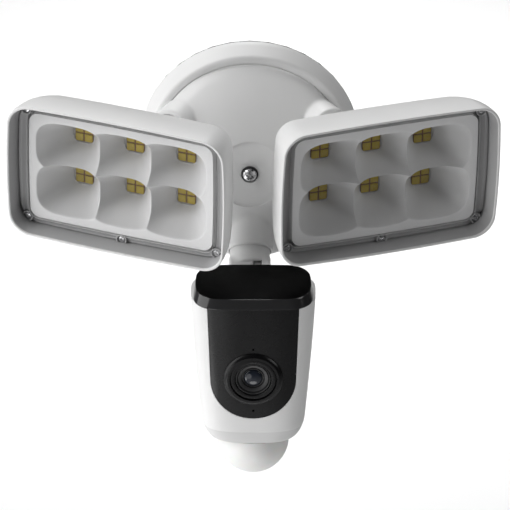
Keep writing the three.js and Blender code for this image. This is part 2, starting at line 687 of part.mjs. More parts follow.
function lensBarrel() {
  return turned([
    [0, 12], [8, 12], [8, 4], [9.9, 4], [9.9, -1.3], [9.3, -1.7], [8.7, 0], [6.1, 0.6],
    [5.5, 1.6], [0, 1.6],
  ], 24).translate([CAMERA_X, CAMERA_FRONT_Y + 1.4, LENS_Z]);
}

function lensElement() {
  return turned([[0, 1.2], [5.1, 1.2], [5.1, 0.3], [4.3, -0.4], [2.4, -0.9], [0, -1.1]], 16)
    .translate([CAMERA_X, CAMERA_FRONT_Y + 1.4, LENS_Z]);
}

function sensorDome() {
  const ball = (radius) => solid(new THREE.SphereGeometry(radius, 18, 10)
    .rotateX(Math.PI / 2).translate(CAMERA_X, CAMERA_Y, DOME_LENS_Z));
  const skirt = join(
    rodZ(17.8, SHELL_BOTTOM_Z - 3, -129, CAMERA_X, CAMERA_Y, 18),
    ball(DOME_LENS_RADIUS).intersect(rodZ(30, -170, SHELL_BOTTOM_Z - GAP, CAMERA_X, CAMERA_Y, 8)),
  );
  const bore = rodZ(16.4, SHELL_BOTTOM_Z - 3, -120, CAMERA_X, CAMERA_Y, 18);
  return cut(skirt, ball(DOME_LENS_RADIUS - 1.4), bore);
}

function motionSensor() {
  return join(
    rodZ(12, -128.2, -126.8, CAMERA_X, CAMERA_Y, 16),
    rodZ(4.6, -132.5, -128, CAMERA_X, CAMERA_Y, 12),
  );
}

function cameraBoard() {
  const y = CAMERA_FRONT_Y + 15;
  return block(CAMERA_X - 24, CAMERA_X + 24, y, y + 1.6, -118, -56);
}

function imageSensor() {
  const y = CAMERA_FRONT_Y + 13.7;
  return block(CAMERA_X - 7, CAMERA_X + 7, y, y + 1, LENS_Z - 7, LENS_Z + 7);
}

function speaker() {
  const y = CAMERA_FRONT_Y + 15 + 1.6 + GAP;
  return join(
    rodY(13, y, y + 3, CAMERA_X, -104, 16),
    rodY(9, y, y + 8, CAMERA_X, -104, 16),
  );
}

// ---------------------------------------------------------------- assembly

const floodlight = new THREE.Group();
floodlight.add(
  piece('base_housing', baseHousing(), whitePlastic),
  piece('wall_gasket', wallGasket(), rubber),
  piece('mounting_bracket', mountingBracket(), steel),
  piece('rear_cover', rearCover(), blackMatte),
  piece('cable_gland', cableGland(), rubber),
  piece('driver_board', driverBoard(), boardGreen),
  piece('driver_transformer', driverTransformer(), ledYellow),
  piece('driver_capacitor', driverCapacitor(), blackMatte),
  piece('center_screw', centerScrew(), steel),
  piece('center_screw_seal', screwSeal(), rubber),
);
[0, 1, 2, 3].forEach((index) => {
  floodlight.add(piece(`cover_screw_${index + 1}`, coverScrew(index), steel));
});

function addLamp(side, label) {
  const { degToRad } = THREE.MathUtils;
  const bend = side * (LAMP_YAW - POD_TURN);
  const arm = new THREE.Group();
  arm.position.set(side * POD_X, POD_Y, POD_Z);
  arm.rotation.set(0, degToRad(LAMP_ROLLS[label]), degToRad(side * POD_TURN), 'ZYX');
  arm.add(piece(`${label}_lamp_arm`, lampArm(bend), whitePlastic));
  const hinge = new THREE.Group();
  hinge.position.set(0, -ARM_REACH, 0);
  hinge.rotation.z = degToRad(bend);
  hinge.add(
    piece(`${label}_hinge_bolt`, hingeBolt(FORK_HALF), steel),
    piece(`${label}_hinge_nut`, hingeNut(FORK_HALF), steel),
  );
  arm.add(hinge);

  const tilt = new THREE.Group();
  tilt.rotation.x = degToRad(LAMP_DROOP);
  const lamp = new THREE.Group();
  lamp.position.set(LAMP_SHIFT_X, -HINGE_BEHIND_RIM, 0);
  lamp.add(
    piece(`${label}_lamp_shell`, lampShell(), whitePlastic),
    piece(`${label}_lens_frame`, lensFrame(), whitePlastic),
    piece(`${label}_window`, lampWindow(), clearPlastic),
    piece(`${label}_reflector`, lampReflector(), reflectorWhite),
    piece(`${label}_led_board`, ledBoard(), ledYellow),
  );
  FRAME_SCREWS.forEach((_, index) => {
    lamp.add(piece(`${label}_frame_screw_${index + 1}`, frameScrew(index), steel));
  });
  tilt.add(lamp);
  hinge.add(tilt);
  floodlight.add(arm);
}
addLamp(-1, 'left');
addLamp(1, 'right');

const cameraArmGroup = new THREE.Group();
cameraArmGroup.position.set(0, COLLAR_Y, COLLAR_Z);
cameraArmGroup.rotation.x = THREE.MathUtils.degToRad(COLLAR_SLOPE);
const cameraHinge = new THREE.Group();
cameraHinge.position.set(0, -CAMERA_ARM_REACH, 0);
cameraHinge.add(
  piece('camera_hinge_bolt', hingeBolt(CAMERA_ARM_RADIUS), steel),
  piece('camera_hinge_nut', hingeNut(CAMERA_ARM_RADIUS), steel),
);
cameraArmGroup.add(piece('camera_arm', cameraArm(), whitePlastic), cameraHinge);
floodlight.add(
  cameraArmGroup,
  piece('camera_shell', cameraShell(), whitePlastic),
  piece('front_panel', frontPanel(), blackGloss),
  piece('visor', visor(), blackGloss),
  piece('lens_ring', lensRing(), blackMatte),
  piece('lens_barrel', lensBarrel(), blackMatte),
  piece('lens_glass', lensElement(), lensGlass),
  piece('sensor_dome', sensorDome(), sensorWhite),
  piece('motion_sensor', motionSensor(), steel),
  piece('camera_board', cameraBoard(), boardGreen),
  piece('image_sensor', imageSensor(), blackMatte),
  piece('speaker', speaker(), blackMatte),
);

export default floodlight;
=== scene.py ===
# The looks of the floodlight camera: smooth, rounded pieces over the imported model, their finishes,
# the studio and the camera. Shapes are drawn in millimetres and scaled to metres when they are placed.

import math

import bmesh
import bpy
import numpy as np
from mathutils import Matrix, Vector


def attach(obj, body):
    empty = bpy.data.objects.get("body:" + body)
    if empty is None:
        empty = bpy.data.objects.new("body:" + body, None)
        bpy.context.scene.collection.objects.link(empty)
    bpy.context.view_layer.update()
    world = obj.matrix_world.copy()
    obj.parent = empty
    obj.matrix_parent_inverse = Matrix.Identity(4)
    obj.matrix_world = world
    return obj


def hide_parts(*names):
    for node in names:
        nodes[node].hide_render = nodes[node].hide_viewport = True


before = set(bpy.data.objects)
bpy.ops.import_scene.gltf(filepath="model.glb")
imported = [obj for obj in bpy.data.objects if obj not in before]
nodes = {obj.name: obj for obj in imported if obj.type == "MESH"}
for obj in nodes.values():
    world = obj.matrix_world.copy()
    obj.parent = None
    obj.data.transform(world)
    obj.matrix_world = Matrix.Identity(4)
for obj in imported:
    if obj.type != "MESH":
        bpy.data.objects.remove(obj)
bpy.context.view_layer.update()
scene = bpy.context.scene
MM = 0.001

# ---------------------------------------------------------------- sizes, as in the CAD source

PLATE_RADIUS = 62.5
PLATE_FRONT = -13.0
DOME_RADIUS = 53.5
BALL_RADIUS = 110.4
BALL_CENTER = (0.0, 60.4, -29.5)
DISH_DEPTH = 2.3
DISH_RADIUS = 18.9
DISH_SLOPE = math.radians(15.5)
BASE_WALL = 2.8
BASE_CELL = 0.62  # cell sizes of the blended solids
FINE_CELL = 0.45
SEAT = (0.0, -46.0, 0.0)
POD_RADIUS = 12.5
POD_TURN = 32.0
POD = (45.1, -30.8, 21.5)
ARM_RADIUS = 8.5
NECK_RADIUS = 7.2
ARM_REACH = 25.4
LAMP_YAW = 20.8
LAMP_DROOP = 0.75
LAMP_ROLLS = {"left": 1.0, "right": 1.5}
LUG_RADIUS = 8.0
LUG_HALF = 3.6
FORK_HALF = 8.0
FORK_SLOT_HALF = 4.0
BOLT_HOLE = 2.7
LAMP_SHIFT_X = 2.0
HINGE_BEHIND_RIM = 51.0

LAMP_HALF = (64.6, 41.15)
LAMP_CORNER = 13.0
LAMP_BOW = 0.8
LAMP_EASE = 0.08  # how much smaller the smooth outline is, to stay inside the CAD's box
LAMP_CURVE = 0.0072  # the slow inward curve of the lamp's sides
LAMP_DEPTH = 37.5
LAMP_BACK_ROUND = 4.0
RIM_WALL = 1.2
LEDGE = 14.8
FRAME_INSET = 2.9
FRAME_FRONT = 11.0
WINDOW_HALF = (56.0, 34.5)
WINDOW_CORNER = 6.0
WINDOW_FRONT = 7.6
REFLECTOR_FRONT = 8.9
REFLECTOR_BACK = 30.6
CUP_PITCH = (30.85, 26.6)
CUP_MOUTH = (20.0, 15.8)
CUP_FOOT = (6.6, 6.4)
CUP_POWER = 3.2
LED_HALF = 5.5
LED_FACE = 30.8
BOARD_FRONT = 31.6
FRAME_SCREWS = [
    (-56.8, 34.1), (0, 37.4), (56.8, 34.1),
    (-56.8, -34.1), (0, -37.4), (56.8, -34.1),
]

COLLAR_RADIUS = 13.2
COLLAR = (0.0, -54.0, -45.0)
COLLAR_SLOPE = 40.0
CAMERA_ARM_RADIUS = 11.4
CAMERA_ARM_REACH = 15.0
CAMERA_DRUM_RADIUS = 10.5
CAMERA_X = 2.0
CAMERA_Y = -98.75
CAMERA_HALF_Y = 19.75
CAMERA_FRONT = CAMERA_Y - CAMERA_HALF_Y
SHELL_TOP = -44.9
SHELL_BOTTOM = -133.5
VISOR_TOP = -38.7
VISOR_Y = -100.0
VISOR_HALF = (32.1, 19.65)
VISOR_FLARE = (2.7, 1.6)
CHIN_CREASE = -126.0
CHIN_STEP = 0.45
CHIN_ROUND_FROM = -122.0
CAMERA_POWER = 3.4  # how square the camera body's sections are
CAMERA_WALL = 2.4
PANEL_RADIUS = 24.0
PANEL_DROP = 1.7  # how far the panel's round end is centred below the lens
PANEL_TOP_HALF = 26.0
LENS_Z = -91.0
PIN_HOLES = (19.1, -20.7)
SENSOR_RADIUS = 20.3
SENSOR_Z = -140.6

# ---------------------------------------------------------------- placing


def shift(x, y, z):
    return Matrix.Translation((x, y, z))


def turn(axis, degrees):
    return Matrix.Rotation(math.radians(degrees), 4, axis)


def arm_place(side, label):
    """Where a lamp arm's own frame is: its pod axis on Y and its pod face at 0."""
    return shift(side * POD[0], POD[1], POD[2]) @ turn("Z", side * POD_TURN) @ turn("Y", LAMP_ROLLS[label])


def hinge_place(side, label):
    bend = side * (LAMP_YAW - POD_TURN)
    return arm_place(side, label) @ shift(0, -ARM_REACH, 0) @ turn("Z", bend)


def lamp_place(side, label):
    """Where a lamp head's own frame is: x to the right, y backwards from the rim, z up."""
    back = shift(LAMP_SHIFT_X, -HINGE_BEHIND_RIM, 0)
    return hinge_place(side, label) @ turn("X", LAMP_DROOP) @ back


def camera_arm_place():
    return shift(*COLLAR) @ turn("X", COLLAR_SLOPE)


# ---------------------------------------------------------------- mesh making


def make_object(points, faces):
    """A closed mesh in millimetres, with its faces turned out."""
    mesh = bpy.data.meshes.new("draft")
    mesh.from_pydata(np.asarray(points, float).tolist(), [], faces)
    bm = bmesh.new()
    bm.from_mesh(mesh)
    bmesh.ops.remove_doubles(bm, verts=bm.verts, dist=1e-4)
    bmesh.ops.dissolve_degenerate(bm, edges=bm.edges, dist=1e-5)
    bmesh.ops.recalc_face_normals(bm, faces=bm.faces)
    bm.to_mesh(mesh)
    bm.free()
    obj = bpy.data.objects.new("draft", mesh)
    scene.collection.objects.link(obj)
    return obj


def discard(obj):
    mesh = obj.data
    bpy.data.objects.remove(obj)
    bpy.data.meshes.remove(mesh)


def bake(obj):
    """Applies the object's modifiers to its mesh."""
    graph = bpy.context.evaluated_depsgraph_get()
    baked = bpy.data.meshes.new_from_object(obj.evaluated_get(graph))
    old = obj.data
    obj.modifiers.clear()
    obj.data = baked
    bpy.data.meshes.remove(old)
    return obj


def combine(obj, tool, operation):
    modifier = obj.modifiers.new("combine", "BOOLEAN")
    modifier.operation = operation
    modifier.solver = "MANIFOLD"
    modifier.object = tool
    bake(obj)
    discard(tool)
    return obj


def cut(obj, *tools):
    for tool in tools:
        combine(obj, tool, "DIFFERENCE")
    return obj


def join(obj, *tools):
    for tool in tools:
        combine(obj, tool, "UNION")
    return obj


def keep_in(obj, tool):
    return combine(obj, tool, "INTERSECT")


def soften(obj, width, angle=40, segments=2):
    """Rounds the sharp edges of a mesh by a small radius."""
    modifier = obj.modifiers.new("soften", "BEVEL")
    modifier.width = width
    modifier.segments = segments
    modifier.limit_method = "ANGLE"
    modifier.angle_limit = math.radians(angle)
    modifier.use_clamp_overlap = True
    return bake(obj)


def place(obj, name, body, material, stands_for=(), at=None, sharp=35, second=None):
    """Puts a draft in its place on a CAD body, with its name, finish and the nodes it stands for.
    second is another finish and a test, of a face's center and normal, for where it goes."""
    mesh = obj.data
    elsewhere = [bool(second and second[1](face.center, face.normal)) for face in mesh.polygons]
    mesh.transform(Matrix.Scale(MM, 4) @ (at or Matrix.Identity(4)))
    mesh.polygons.foreach_set("use_smooth", [True] * len(mesh.polygons))
    mesh.set_sharp_from_angle(angle=math.radians(sharp))
    mesh.materials.clear()
    mesh.materials.append(material)
    if second:
        mesh.materials.append(second[0])
        mesh.polygons.foreach_set("material_index", elsewhere)
    obj.name = name
    mesh.name = name
    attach(obj, body)
    if stands_for:
        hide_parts(*stands_for)
    return obj


def loft(rings, closed=False):
    """A solid through rings of points. Its ends are capped, or joined to each other if closed."""
    count = len(rings[0])
    faces = []
    for i in range(len(rings) if closed else len(rings) - 1):
        a = i * count
        b = ((i + 1) % len(rings)) * count
        for j in range(count):
            k = (j + 1) % count
            faces.append((a + j, a + k, b + k, b + j))
    if not closed:
        faces.append(tuple(range(count)))
        faces.append(tuple(range((len(rings) - 1) * count, len(rings) * count)))
    return make_object(np.concatenate(rings), faces)


def rounded(corners, steps=4):
    """A polyline of (a, b) or (a, b, radius) corners, with an arc in place of each that has a radius."""
    path = []
    for i, corner in enumerate(corners):
        here = np.array(corner[:2], float)
        radius = corner[2] if len(corner) > 2 else 0
        if not radius or i in (0, len(corners) - 1):
            path.append(here)
            continue
        before = np.array(corners[i - 1][:2], float) - here
        after = np.array(corners[i + 1][:2], float) - here
        before, after = (v / np.linalg.norm(v) for v in (before, after))
        half = math.acos(max(-1.0, min(1.0, float(before @ after)))) / 2
        reach = radius / math.tan(half)
        middle = here + (before + after) / np.linalg.norm(before + after) * radius / math.sin(half)
        start = here + before * reach - middle
        end = here + after * reach - middle
        sweep = math.pi - 2 * half
        for step in range(steps + 1):
            t = step / steps
            mix = (math.sin((1 - t) * sweep) * start + math.sin(t * sweep) * end) / math.sin(sweep)
            path.append(middle + mix)
    return path


def turned(profile, sides=96, closed=False):
    """A turned solid about Y, from (radius, y) points."""
    angles = np.linspace(0, 2 * math.pi, sides, endpoint=False)
    rings = [
        np.column_stack([r * np.cos(angles), np.full(sides, y), r * np.sin(angles)])
        for r, y in profile
    ]
    return loft(rings, closed)


def rod(radius, y0, y1, x=0.0, z=0.0, edge=0.3, sides=48):
    profile = rounded([(0, y0), (radius, y0, edge), (radius, y1, edge), (0, y1)])
    obj = turned(profile, sides)
    obj.data.transform(shift(x, 0, z))
    return obj


def bowed(half, radius, bow, arc_steps=12, side_steps=12):
    """A rectangle in x and z with round corners and sides that bow outwards, as (n, 2) points."""
    inner = (half[0] - radius, half[1] - radius)
    points = []
    for quarter, (sx, sz) in enumerate([(1, 1), (-1, 1), (-1, -1), (1, -1)]):
        for i in range(arc_steps + 1):
            angle = (quarter + i / arc_steps) * math.pi / 2
            across, up = radius * math.cos(angle), radius * math.sin(angle)
            points.append((sx * inner[0] + across, sz * inner[1] + up))
        for i in range(1, side_steps + 1):
            along = 1 - 2 * i / (side_steps + 1)
            out = bow * (1 - along * along)
            if quarter % 2 == 0:
                points.append((sx * inner[0] * along, sz * (half[1] + out)))
            else:
                points.append((sx * (half[0] + out), sz * inner[1] * along))
    return np.array(points)


def super_oval(half_x, half_y, power, count):
    angles = np.linspace(0, 2 * math.pi, count, endpoint=False)
    c, s = np.cos(angles), np.sin(angles)
    return np.column_stack([
        half_x * np.sign(c) * np.abs(c) ** (2 / power),
        half_y * np.sign(s) * np.abs(s) ** (2 / power),
    ])


def at_depth(outline, y):
    return np.column_stack([outline[:, 0], np.full(len(outline), y), outline[:, 1]])


def slab(outline, y0, y1):
    return loft([at_depth(outline, y0), at_depth(outline, y1)])


# ---------------------------------------------------------------- blended solids


def smooth_min(a, b, k):
    h = np.maximum(k - np.abs(a - b), 0) / k
    return np.minimum(a, b) - h * h * k / 4


def smooth_max(a, b, k):
    return -smooth_min(-a, -b, k)


def blended(field, low, high, cell):
    """The surface on which field(x, y, z) is zero; it is negative inside. One point is put in each
    cell that the surface crosses, and is then moved onto the surface."""
    axes = [np.arange(a - cell, b + 2 * cell, cell) for a, b in zip(low, high)]
    value = field(*np.meshgrid(*axes, indexing="ij", sparse=True)).astype(np.float32)
    inside = value < 0
    size = [n - 1 for n in value.shape]
    corners = [(i, j, k) for i in (0, 1) for j in (0, 1) for k in (0, 1)]

    def corner_of(array, corner):
        return array[tuple(slice(c, c + n) for c, n in zip(corner, size))]

    total = sum(corner_of(inside, c).astype(np.int8) for c in corners)
    cells = np.argwhere((total > 0) & (total < 8))
    number = np.full(size, -1)
    number[tuple(cells.T)] = np.arange(len(cells))
    points = np.zeros((len(cells), 3))
    crossings = np.zeros(len(cells))
    for axis in range(3):
        for start in (c for c in corners if c[axis] == 0):
            step = np.eye(3, dtype=int)[axis]
            a = value[tuple((cells + start).T)]
            b = value[tuple((cells + start + step).T)]
            crossed = (a < 0) != (b < 0)
            share = np.where(crossed, a / np.where(crossed, a - b, 1), 0)
            spot = np.array(start) + share[:, None] * step
            points += np.where(crossed[:, None], spot, 0)
            crossings += crossed
    points = (cells + points / crossings[:, None]) * cell + [a[0] for a in axes]

    for _ in range(2):
        here = field(*points.T)
        slope = np.column_stack([
            (field(*(points + d).T) - field(*(points - d).T)) / (0.2 * cell)
            for d in np.eye(3) * 0.1 * cell
        ])
        move = here / np.maximum((slope ** 2).sum(1), 0.1)
        points -= np.clip(move, -0.5 * cell, 0.5 * cell)[:, None] * slope

    faces = []
    for axis in range(3):
        u, v = (axis + 1) % 3, (axis + 2) % 3
        along = np.eye(3, dtype=int)
        low_end = inside[tuple(slice(0, n - (1 if i == axis else 0)) for i, n in enumerate(inside.shape))]
        high_end = inside[tuple(slice(1 if i == axis else 0, n) for i, n in enumerate(inside.shape))]
        edges = np.argwhere(low_end != high_end)
        outward = low_end[tuple(edges.T)]
        around = [edges - along[u] - along[v], edges - along[v], edges, edges - along[u]]
        quads = np.column_stack([number[tuple(a.T)] for a in around])
        faces += quads[outward].tolist() + quads[~outward][:, ::-1].tolist()
    return make_object(points, faces)


def along_axis(x, y, z, center, direction):
    """How far each point is along a direction from a center, and how far from that line."""
    dx, dy, dz = x - center[0], y - center[1], z - center[2]
    along = dx * direction[0] + dy * direction[1] + dz * direction[2]
    return along, np.sqrt(np.maximum(dx * dx + dy * dy + dz * dz - along * along, 0))


# ---------------------------------------------------------------- finishes


def new_material(name):
    material = bpy.data.materials.new(name)
    material.use_nodes = True
    tree = material.node_tree
    shader = tree.nodes["Principled BSDF"]
    place_node = tree.nodes.new("ShaderNodeTexCoord")
    return material, tree, shader, place_node.outputs["Object"]


def noise(tree, where, scale, detail=2.0, rough=0.5):
    node = tree.nodes.new("ShaderNodeTexNoise")
    node.inputs["Scale"].default_value = scale
    node.inputs["Detail"].default_value = detail
    node.inputs["Roughness"].default_value = rough
    tree.links.new(where, node.inputs["Vector"])
    return node.outputs["Fac"]


def spread(tree, source, low, high, start=0.3, end=0.7):
    """Maps a noise to a range of values."""
    node = tree.nodes.new("ShaderNodeMapRange")
    node.inputs["From Min"].default_value = start
    node.inputs["From Max"].default_value = end
    node.inputs["To Min"].default_value = low
    node.inputs["To Max"].default_value = high
    tree.links.new(source, node.inputs["Value"])
    return node.outputs["Result"]


def tint(tree, source, low, high, start=0.3, end=0.7):
    """Maps a noise to a colour between two."""
    node = tree.nodes.new("ShaderNodeValToRGB")
    node.color_ramp.elements[0].position = start
    node.color_ramp.elements[1].position = end
    node.color_ramp.elements[0].color = (*low, 1)
    node.color_ramp.elements[1].color = (*high, 1)
    tree.links.new(source, node.inputs["Fac"])
    return node.outputs["Color"]


def bump(tree, shader, source, strength, distance):
    node = tree.nodes.new("ShaderNodeBump")
    node.inputs["Strength"].default_value = strength
    node.inputs["Distance"].default_value = distance
    tree.links.new(source, node.inputs["Height"])
    tree.links.new(node.outputs["Normal"], shader.inputs["Normal"])


def plastic(name, low, high, roughness, grain=2600.0, depth=0.00002, strength=0.25, specular=0.5):
    """Moulded plastic: slight mottling, a fine spark-eroded grain and uneven gloss."""
    material, tree, shader, where = new_material(name)
    tree.links.new(tint(tree, noise(tree, where, 18.0, 3.0), low, high), shader.inputs["Base Color"])
    uneven = spread(tree, noise(tree, where, 120.0, 4.0), roughness[0], roughness[1])
    tree.links.new(uneven, shader.inputs["Roughness"])
    shader.inputs["Specular IOR Level"].default_value = specular
    bump(tree, shader, noise(tree, where, grain, 2.0), strength, depth)
    return material


def metal(name, low, high, roughness, grain=900.0):
    """Plated steel with a faint brushed grain."""
    material, tree, shader, where = new_material(name)
    tree.links.new(tint(tree, noise(tree, where, 300.0, 4.0), low, high), shader.inputs["Base Color"])
    uneven = spread(tree, noise(tree, where, grain, 4.0), roughness[0], roughness[1])
    tree.links.new(uneven, shader.inputs["Roughness"])
    shader.inputs["Metallic"].default_value = 1.0
    bump(tree, shader, noise(tree, where, grain * 2, 3.0), 0.2, 0.00002)
    return material


WHITE = plastic("white_plastic", (0.80, 0.80, 0.80), (0.83, 0.83, 0.825), (0.38, 0.46))
# A darker copy of the white plastic for the band under the camera's chin crease: painted shade where the band
# turns downwards, away from the light.
WHITE_PAINTED_SHADE = plastic("white_painted_shade", (0.69, 0.69, 0.69), (0.72, 0.72, 0.715), (0.38, 0.46))
WHITE_SHADED = plastic("white_shaded", (0.44, 0.44, 0.445), (0.48, 0.48, 0.48), (0.42, 0.50))
REFLECTOR = plastic("reflector", (0.76, 0.76, 0.765), (0.79, 0.79, 0.79), (0.30, 0.36), grain=1500.0)
# A darker copy of the reflector's white for the cups' side walls: painted shade inside the cups.
REFLECTOR_PAINTED_SHADE = plastic("cup_wall_painted_shade", (0.63, 0.63, 0.635), (0.67, 0.67, 0.67), (0.30, 0.36), grain=1500.0)
# The visor's edge: black lifted to a dark grey as a painted reflection.
VISOR_EDGE_PAINTED_REFLECTION = plastic("visor_edge_painted_reflection", (0.028, 0.028, 0.029), (0.034, 0.034, 0.035), (0.10, 0.15), depth=0.000004)
# The visor's top: near black with almost no gloss, as painted shade.
BLACK_PAINTED_SHADE = plastic(
    "black_painted_shade", (0.0010, 0.0010, 0.0011), (0.0022, 0.0022, 0.0023), (0.5, 0.6), specular=0.03,
)
BLACK_SATIN = plastic(
    "black_satin", (0.004, 0.004, 0.0045), (0.005, 0.005, 0.0055), (0.26, 0.29), strength=0.02, specular=0.3,
)
BLACK_MATTE = plastic("black_matte", (0.018, 0.018, 0.019), (0.026, 0.026, 0.027), (0.42, 0.52), strength=0.4)
RUBBER = plastic("rubber", (0.022, 0.022, 0.023), (0.034, 0.034, 0.035), (0.62, 0.75), strength=0.5)
BOARD_GREEN = plastic("circuit_board", (0.02, 0.10, 0.05), (0.03, 0.14, 0.07), (0.35, 0.45), grain=1200.0)
BOARD_WHITE = plastic("led_board_white", (0.62, 0.62, 0.60), (0.68, 0.68, 0.66), (0.4, 0.5))
WINDING = plastic("winding_tape", (0.50, 0.36, 0.07), (0.60, 0.45, 0.10), (0.3, 0.4), grain=700.0)
PHOSPHOR = plastic(
    "led_phosphor", (0.46, 0.335, 0.022), (0.57, 0.42, 0.034), (0.35, 0.5), 1800.0, specular=0.2,
)
LED_FRAME = plastic("led_frame", (0.16, 0.07, 0.012), (0.23, 0.11, 0.02), (0.4, 0.5), specular=0.2)
STEEL = metal("steel", (0.60, 0.60, 0.61), (0.70, 0.70, 0.71), (0.20, 0.32))


def clear_plastic(name, alpha, shade):
    """The lamp's clear window, which lets nearly everything through, and its duller edge, made light as
    painted light over the shadowed gap beside the reflector.
    """
    material, tree, shader, where = new_material(name)
    shader.inputs["Base Color"].default_value = (shade, shade, shade, 1)
    shader.inputs["Alpha"].default_value = alpha
    haze = spread(tree, noise(tree, where, 60.0, 3.0), 0.03, 0.07)
    tree.links.new(haze, shader.inputs["Roughness"])
    bump(tree, shader, noise(tree, where, 90.0, 1.0), 0.05, 0.00005)
    return material


def coated_glass():
    material, tree, shader, where = new_material("lens_glass")
    base = tint(tree, noise(tree, where, 200.0, 2.0), (0.012, 0.015, 0.022), (0.020, 0.024, 0.034))
    tree.links.new(base, shader.inputs["Base Color"])
    tree.links.new(spread(tree, noise(tree, where, 900.0), 0.04, 0.09), shader.inputs["Roughness"])
    shader.inputs["Coat Weight"].default_value = 0.3
    shader.inputs["Coat Roughness"].default_value = 0.03
    shader.inputs["Specular IOR Level"].default_value = 0.3
    return material


def sensor_plastic():
    """The motion sensor's dome: soft white, slightly translucent."""
    material, tree, shader, where = new_material("sensor_dome")
    base = tint(tree, noise(tree, where, 30.0, 3.0), (0.83, 0.83, 0.82), (0.86, 0.86, 0.85))
    tree.links.new(base, shader.inputs["Base Color"])
    tree.links.new(spread(tree, noise(tree, where, 150.0, 3.0), 0.36, 0.44), shader.inputs["Roughness"])
    shader.inputs["Subsurface Weight"].default_value = 0.15
    shader.inputs["Subsurface Scale"].default_value = 0.002
    bump(tree, shader, noise(tree, where, 2400.0, 2.0), 0.2, 0.00001)
    return material


CLEAR = clear_plastic("clear_window", 0.03, 0.8)
# The window's edge: a light, nearly opaque white, painted light over the shadowed gap between the cover's
# wall and the reflector.
FROSTED_PAINTED_LIGHT = clear_plastic("frosted_edge_painted_light", 0.9, 0.85)
LENS_GLASS = coated_glass()
SENSOR_WHITE = sensor_plastic()

# ---------------------------------------------------------------- base


def base_field(x, y, z):
    ring = np.hypot(x, z)
    side = (ring - PLATE_RADIUS - 0.45 * (y + 3)) / 1.1
    plate = smooth_max(smooth_max(side, ring - PLATE_RADIUS, 1.0), PLATE_FRONT - y, 1.6)
    ball = np.sqrt(x * x + (y - BALL_CENTER[1]) ** 2 + (z - BALL_CENTER[2]) ** 2) - BALL_RADIUS
    dome = smooth_max(ball, ring - DOME_RADIUS, 5.0)

    pods, bores = [], []
    for side in (-1, 1):
        lean = math.radians(POD_TURN)
        at = (side * POD[0], POD[1], POD[2])
        along, off = along_axis(x, y, z, at, (side * math.sin(lean), -math.cos(lean), 0))
        pods.append(np.maximum(smooth_max(off - POD_RADIUS, along, 1.4), -along - 18))
        bores.append(np.maximum(off - ARM_RADIUS - 0.5, -along - 9.8))
    slope = math.radians(COLLAR_SLOPE)
    along, off = along_axis(x, y, z, COLLAR, (0, -math.cos(slope), -math.sin(slope)))
    collar = np.maximum(smooth_max(off - COLLAR_RADIUS, along, 1.4), -along - 18)
    bores.append(np.maximum(off - CAMERA_ARM_RADIUS - 0.5, -along - 9.8))

    whole = smooth_min(smooth_min(dome, pods[0], 1.2), pods[1], 1.2)
    whole = smooth_min(whole, collar, 2.5)
    whole = smooth_min(whole, plate, 0.6)

    along, off = along_axis(x, y, z, SEAT, (0, -math.cos(DISH_SLOPE), math.sin(DISH_SLOPE)))
    hollow = smooth_max(ball + BASE_WALL, ring - DOME_RADIUS + BASE_WALL, 4.0)
    dish_floor = np.maximum(off - DISH_RADIUS - 1, -along - DISH_DEPTH - 2)
    tube = np.hypot(x, z) - 6.5
    hollow = np.maximum(hollow, -np.minimum(tube, dish_floor))
    pocket = np.maximum(ring - 56, -y - 9)
    whole = np.maximum(np.maximum(whole, -hollow), -pocket)
    for bore in bores:
        whole = smooth_max(whole, -bore, 0.5)
    return np.maximum(np.maximum(whole, 2.6 - ring), y + 1.5)


def build_base():
    draft = blended(base_field, (-63, -64, -63), (63, 0, 63), BASE_CELL)
    dish = rod(DISH_RADIUS, -8, DISH_DEPTH, edge=0, sides=144)
    dish.data.transform(shift(*SEAT) @ turn("X", -math.degrees(DISH_SLOPE)))
    bore = rod(5.3, SEAT[1] - 4, SEAT[1] + DISH_DEPTH, edge=0, sides=64)
    inner, outer, floor = DOME_RADIUS - 0.1, DOME_RADIUS + 0.7, PLATE_FRONT + 0.7
    groove = turned([(inner, -14.2), (outer, -14.2), (outer, floor), (inner, floor)], 144, closed=True)
    cut(draft, dish, bore, groove)
    place(draft, "base_body", "base", WHITE, ["base_housing"], sharp=50)

    seat = SEAT[1] + DISH_DEPTH - 0.3
    head = turned(rounded([
        (0, -2.5), (1.8, -2.5), (1.8, seat - 1.1), (3.9, seat - 1.1, 0.3), (3.9, seat - 2.0, 0.4),
        (3.2, seat - 3.0, 0.6), (1.8, seat - 3.6), (0, seat - 3.8),
    ]), 64)
    for angle in (20, 110):
        arm = make_box((-2.1, seat - 6, -0.45), (2.1, seat - 2.2, 0.45), 0.1)
        arm.data.transform(turn("Y", angle))
        cut(head, arm)
    place(soften(head, 0.06), "center_screw_head", "base", STEEL, ["center_screw"])
    seal = turned(rounded([
        (2.9, seat, 0.2), (4.9, seat, 0.2), (4.9, seat - 0.9, 0.3), (2.9, seat - 0.9, 0.2),
        (2.9, seat + 0.01),
    ])[:-1], 64, closed=True)
    place(seal, "center_screw_ring", "base", RUBBER, ["center_screw_seal"])


def make_box(low, high, edge=0.0):
    x0, y0, z0 = low
    x1, y1, z1 = high
    outline = np.array([(x1, z0), (x1, z1), (x0, z1), (x0, z0)], float)
    box = slab(outline, y0, y1)
    return soften(box, edge, 30, 2) if edge else box


# ---------------------------------------------------------------- lamp arms


def turn_back(x, y, degrees):
    """Coordinates in a frame that is turned about Z."""
    angle = math.radians(degrees)
    c, s = math.cos(angle), math.sin(angle)
    return c * x + s * y, -s * x + c * y


